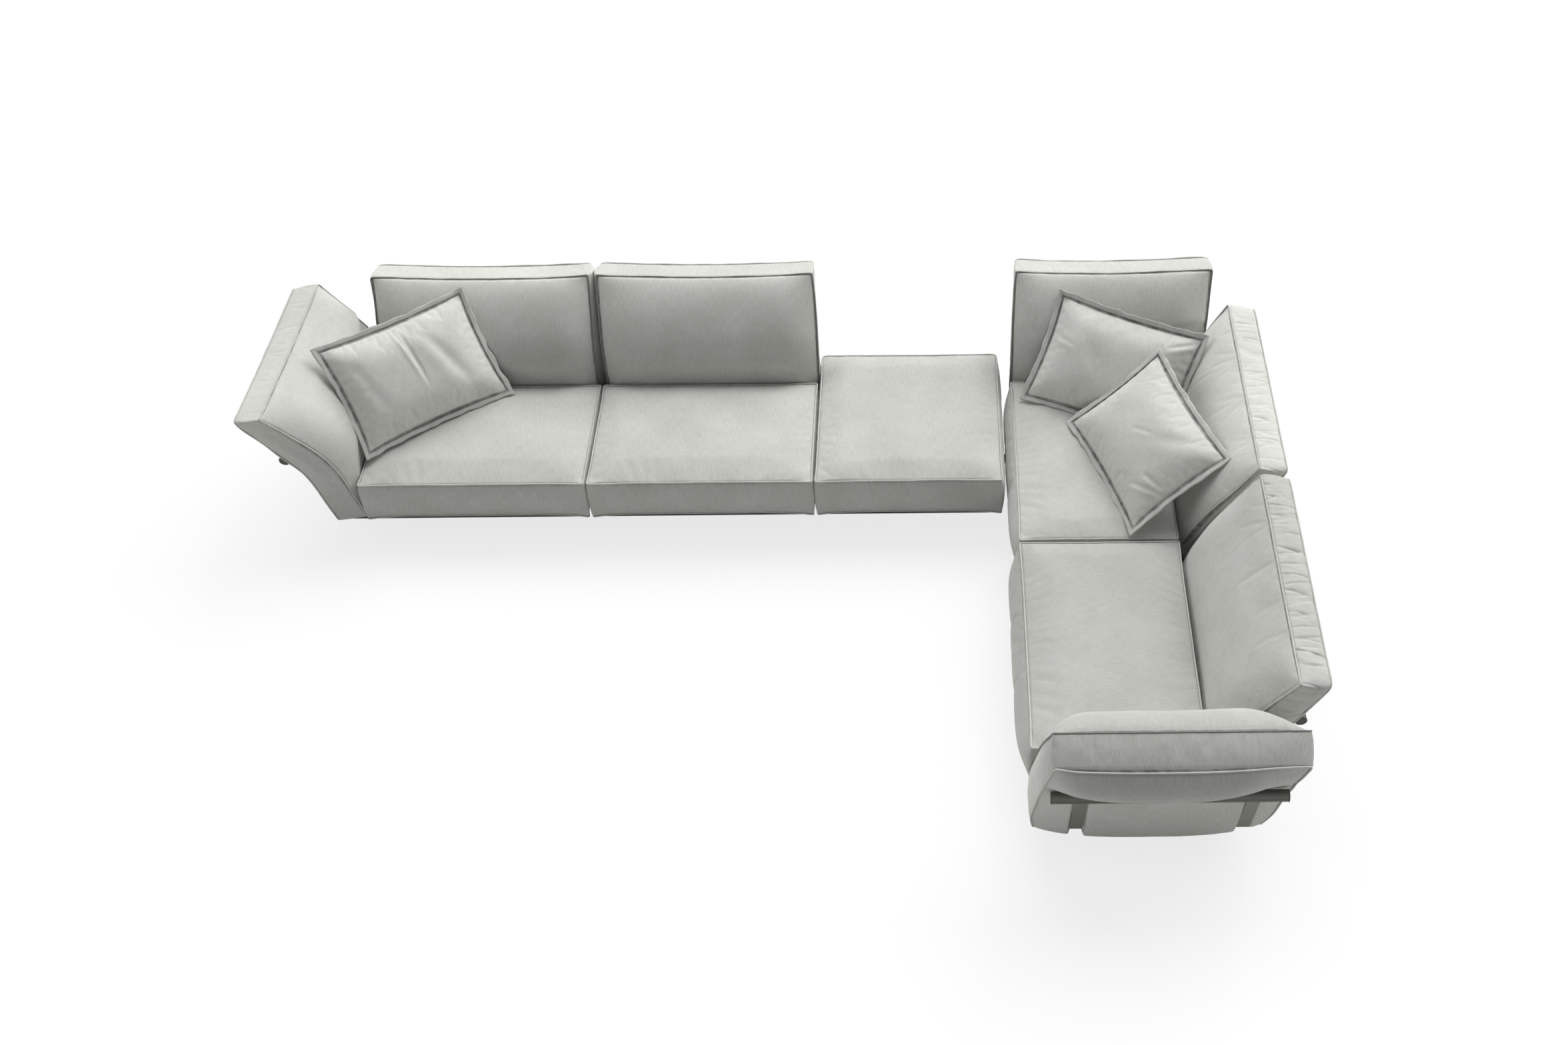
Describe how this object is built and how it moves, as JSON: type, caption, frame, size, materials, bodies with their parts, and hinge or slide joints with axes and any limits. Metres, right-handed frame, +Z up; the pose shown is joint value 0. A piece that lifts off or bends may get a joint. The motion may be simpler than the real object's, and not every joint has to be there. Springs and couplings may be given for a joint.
{
  "type": "modular outdoor corner sofa",
  "caption": "Low modular corner sofa with boxed seat cushions, leaning pads over tube supports, a backless pouf and loose pillows on slatted bases.",
  "frame": {"origin": "on the floor, under the middle of the bounding box", "axes": "+X along the row of seats towards the return, +Y from the seats' fronts to the row's backs, +Z up"},
  "size_m": [4.7626, 3.1608, 0.8172],
  "materials": {
    "seat_fabric": "woven light grey outdoor fabric with a slub",
    "pad_fabric": "woven light grey outdoor fabric with a slub",
    "pillow_fabric": "woven light grey outdoor fabric with a slub",
    "tube_paint": "satin dark grey powder coat",
    "upright_paint": "satin warm grey powder coat",
    "base_paint": "satin near-black powder coat"
  },
  "bodies": {
    "frame": {"base_frame_left": "base_paint", "base_frame_middle": "base_paint", "base_frame_pouf": "base_paint", "base_frame_corner": "base_paint", "base_frame_end": "base_paint", "slat_deck_left": "base_paint", "slat_deck_middle": "base_paint", "slat_deck_pouf": "base_paint", "slat_deck_corner": "base_paint", "slat_deck_end": "base_paint", "link_plate_left_middle": "base_paint", "link_plate_middle_pouf": "base_paint", "link_plate_pouf_corner": "base_paint", "link_plate_corner_end": "base_paint", "support_bar_back_left": "tube_paint", "support_bar_back_middle": "tube_paint", "support_bar_back_corner_rear": "tube_paint", "support_bar_back_corner_side": "tube_paint", "support_bar_back_end": "tube_paint", "support_bar_arm_left": "tube_paint", "support_bar_arm_front": "tube_paint", "upright_back_left_a": "upright_paint", "upright_back_left_b": "upright_paint", "upright_back_middle_a": "upright_paint", "upright_back_middle_b": "upright_paint", "upright_back_corner_rear_a": "upright_paint", "upright_back_corner_rear_b": "upright_paint", "upright_back_corner_side_a": "upright_paint", "upright_back_corner_side_b": "upright_paint", "upright_back_end_a": "upright_paint", "upright_back_end_b": "upright_paint", "upright_arm_left_a": "upright_paint", "upright_arm_left_b": "upright_paint", "upright_arm_front_a": "upright_paint", "upright_arm_front_b": "upright_paint", "back_cushion_left": "pad_fabric", "back_cushion_middle": "pad_fabric", "back_cushion_corner_rear": "pad_fabric", "back_cushion_corner_side": "pad_fabric", "back_cushion_end": "pad_fabric", "arm_cushion_left": "pad_fabric", "arm_cushion_front": "pad_fabric"},
    "seat_left": {"seat_cushion_left": "seat_fabric"},
    "seat_middle": {"seat_cushion_middle": "seat_fabric"},
    "seat_pouf": {"seat_cushion_pouf": "seat_fabric"},
    "seat_corner": {"seat_cushion_corner": "seat_fabric"},
    "seat_end": {"seat_cushion_end": "seat_fabric"},
    "loose_pillow_left": {"pillow_left": "pillow_fabric"},
    "loose_pillow_corner_rear": {"pillow_corner_rear": "pillow_fabric"},
    "loose_pillow_corner_side": {"pillow_corner_side": "pillow_fabric"}
  },
  "joints": [
    {"name": "seat_left_lift", "type": "slide", "parent": "frame", "child": "seat_left", "axis": [0, 0, 1], "range_m": [0, 0.15]},
    {"name": "seat_middle_lift", "type": "slide", "parent": "frame", "child": "seat_middle", "axis": [0, 0, 1], "range_m": [0, 0.15]},
    {"name": "seat_pouf_lift", "type": "slide", "parent": "frame", "child": "seat_pouf", "axis": [0, 0, 1], "range_m": [0, 0.15]},
    {"name": "seat_corner_lift", "type": "slide", "parent": "frame", "child": "seat_corner", "axis": [0, 0, 1], "range_m": [0, 0.15]},
    {"name": "seat_end_lift", "type": "slide", "parent": "frame", "child": "seat_end", "axis": [0, 0, 1], "range_m": [0, 0.15]},
    {"name": "pillow_left_lift", "type": "slide", "parent": "seat_left", "child": "loose_pillow_left", "axis": [0, 0, 1], "range_m": [0, 0.2]},
    {"name": "pillow_corner_rear_lift", "type": "slide", "parent": "seat_corner", "child": "loose_pillow_corner_rear", "axis": [0, 0, 1], "range_m": [0, 0.2]},
    {"name": "pillow_corner_side_lift", "type": "slide", "parent": "loose_pillow_corner_rear", "child": "loose_pillow_corner_side", "axis": [0, 0, 1], "range_m": [0, 0.2]}
  ]
}
